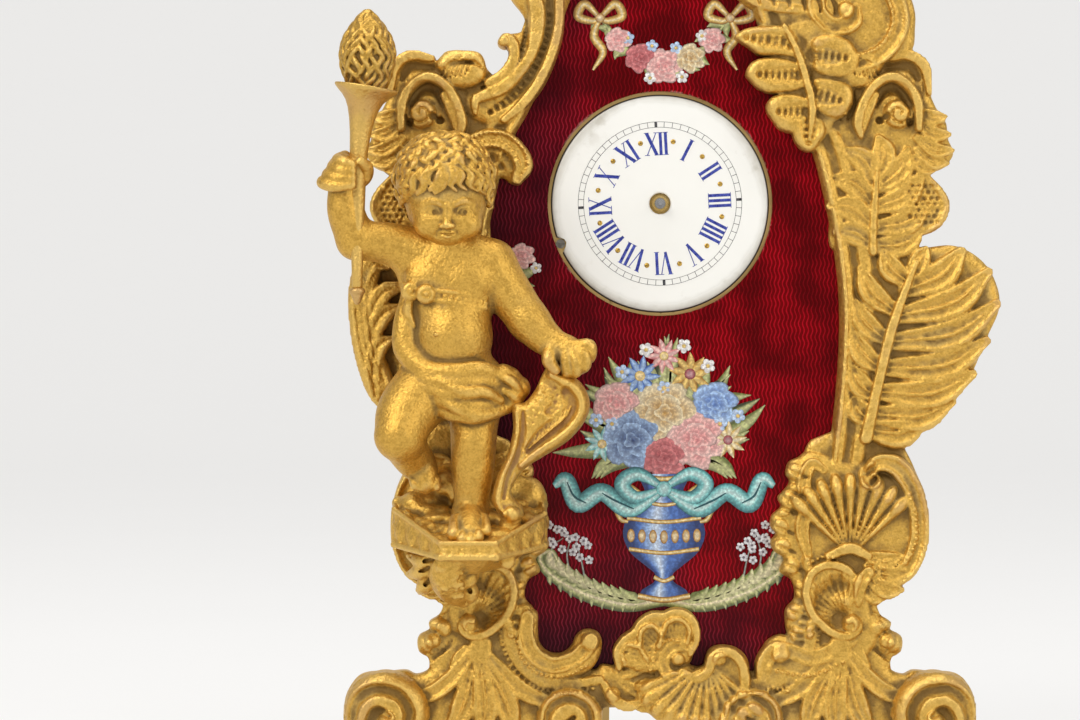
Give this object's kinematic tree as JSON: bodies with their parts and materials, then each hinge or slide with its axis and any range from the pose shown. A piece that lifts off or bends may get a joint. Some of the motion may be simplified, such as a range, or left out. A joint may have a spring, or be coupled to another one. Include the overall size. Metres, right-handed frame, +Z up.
{
  "type": "rocaille pendulette table clock",
  "caption": "Gilt rocaille table clock: a child with a torch stands beside a red enamelled plaque with a round dial; geared movement in a rear drum, hinged door, swing-out rear leg.",
  "frame": {"origin": "on the table, under the middle of the clock's bounding box", "axes": "+Z up; the dial faces -Y; +X to the right of someone looking at the dial"},
  "size_m": [0.15, 0.0805, 0.206],
  "materials": {
    "gilt_bronze": "matt gilding, worn",
    "red_enamel": "translucent gloss enamel over an engine-turned ground",
    "white_enamel": "gloss enamel",
    "brass": "brushed",
    "steel": "polished"
  },
  "bodies": {
    "case": {"front_frame": "gilt_bronze", "case_plate": "brass", "frame_screws": "steel", "enamel_plaque": "red_enamel", "dial": "white_enamel", "dial_screw": "steel", "putto_figure": "gilt_bronze", "figure_stud": "steel", "torch": "gilt_bronze", "torch_flame": "gilt_bronze", "torch_ferrule": "gilt_bronze", "leaf_scroll": "gilt_bronze", "scroll_pin": "steel", "movement_drum": "brass", "drum_screws": "steel", "front_plate": "brass", "back_plate": "brass", "pillars": "brass", "pillar_screws": "steel", "movement_screws": "steel", "minute_post": "steel", "click_stud": "steel", "click_spring": "steel", "balance_cock": "brass", "cock_screw": "steel", "leg_hinge": "brass", "leg_screws": "steel", "leg_pin": "steel", "door_pin": "steel"},
    "barrel": {"barrel": "brass", "barrel_cover": "brass", "mainspring": "steel"},
    "winding": {"barrel_arbor": "steel", "ratchet_wheel": "steel"},
    "click": {"click": "steel"},
    "centre": {"centre_arbor": "steel", "centre_wheel": "brass"},
    "third": {"third_arbor": "steel", "third_wheel": "brass"},
    "fourth": {"fourth_arbor": "steel", "fourth_wheel": "brass"},
    "escape": {"escape_arbor": "steel", "escape_wheel": "brass"},
    "cannon": {"cannon_pinion": "steel"},
    "minute": {"minute_wheel": "brass"},
    "hour": {"hour_wheel": "brass"},
    "setting": {"setting_arbor": "steel"},
    "balance": {"balance_staff": "steel", "balance_wheel": "brass", "hairspring": "steel"},
    "regulator": {"regulator_index": "steel"},
    "door": {"rear_door": "brass"},
    "leg": {"rear_leg": "brass"}
  },
  "joints": [
    {"name": "fourth_spin", "type": "hinge", "parent": "case", "child": "fourth", "pos_m": [0.00953, 0.00025, 0.12296], "axis": [0, -1, 0], "continuous": true},
    {"name": "escape_spin", "type": "hinge", "parent": "case", "child": "escape", "pos_m": [0.00844, 0.00025, 0.11678], "axis": [0, -1, 0], "continuous": true},
    {"name": "third_spin", "type": "hinge", "parent": "case", "child": "third", "pos_m": [0.00396, 0.00025, 0.12686], "axis": [0, -1, 0], "continuous": true},
    {"name": "centre_spin", "type": "hinge", "parent": "case", "child": "centre", "pos_m": [0, 0.00025, 0.12], "axis": [0, -1, 0], "continuous": true},
    {"name": "barrel_spin", "type": "hinge", "parent": "case", "child": "barrel", "pos_m": [-0.00958, 0.00025, 0.11329], "axis": [0, -1, 0], "continuous": true},
    {"name": "cannon_spin", "type": "hinge", "parent": "case", "child": "cannon", "pos_m": [0, -0.00975, 0.12], "axis": [0, -1, 0], "continuous": true},
    {"name": "minute_spin", "type": "hinge", "parent": "case", "child": "minute", "pos_m": [-0.00336, -0.00775, 0.12582], "axis": [0, -1, 0], "continuous": true},
    {"name": "hour_spin", "type": "hinge", "parent": "case", "child": "hour", "pos_m": [0, -0.00875, 0.12], "axis": [0, -1, 0], "continuous": true},
    {"name": "setting_spin", "type": "hinge", "parent": "case", "child": "setting", "pos_m": [-0.00918, 0.00025, 0.12918], "axis": [0, -1, 0], "continuous": true},
    {"name": "winding_turn", "type": "hinge", "parent": "case", "child": "winding", "pos_m": [-0.00958, 0.00025, 0.11329], "axis": [0, -1, 0], "range_deg": [0, 2160]},
    {"name": "click_lift", "type": "hinge", "parent": "case", "child": "click", "pos_m": [-0.00612, 0.00925, 0.12072], "axis": [0, 1, 0], "range_deg": [0, 8]},
    {"name": "balance_swing", "type": "hinge", "parent": "case", "child": "balance", "pos_m": [0.01112, 0.00925, 0.11215], "axis": [0, -1, 0], "range_deg": [-150, 150]},
    {"name": "regulator_turn", "type": "hinge", "parent": "case", "child": "regulator", "pos_m": [0.01112, 0.01325, 0.11215], "axis": [0, -1, 0], "range_deg": [-25, 25]},
    {"name": "door_swing", "type": "hinge", "parent": "case", "child": "door", "pos_m": [0.0278, 0.01545, 0.12], "axis": [0, 0, -1], "range_deg": [0, 110]},
    {"name": "leg_swing", "type": "hinge", "parent": "case", "child": "leg", "pos_m": [-0.012, -0.0046, 0.05], "axis": [0, 0, -1], "range_deg": [0, 90]}
  ],
  "couplings": [
    {"joint": "escape_spin", "follows": "fourth_spin", "ratio": -10},
    {"joint": "third_spin", "follows": "fourth_spin", "ratio": -0.13333},
    {"joint": "centre_spin", "follows": "fourth_spin", "ratio": 0.016667},
    {"joint": "barrel_spin", "follows": "fourth_spin", "ratio": -0.0020833},
    {"joint": "minute_spin", "follows": "cannon_spin", "ratio": -0.33333},
    {"joint": "hour_spin", "follows": "cannon_spin", "ratio": 0.083333},
    {"joint": "setting_spin", "follows": "cannon_spin", "ratio": 1}
  ]
}
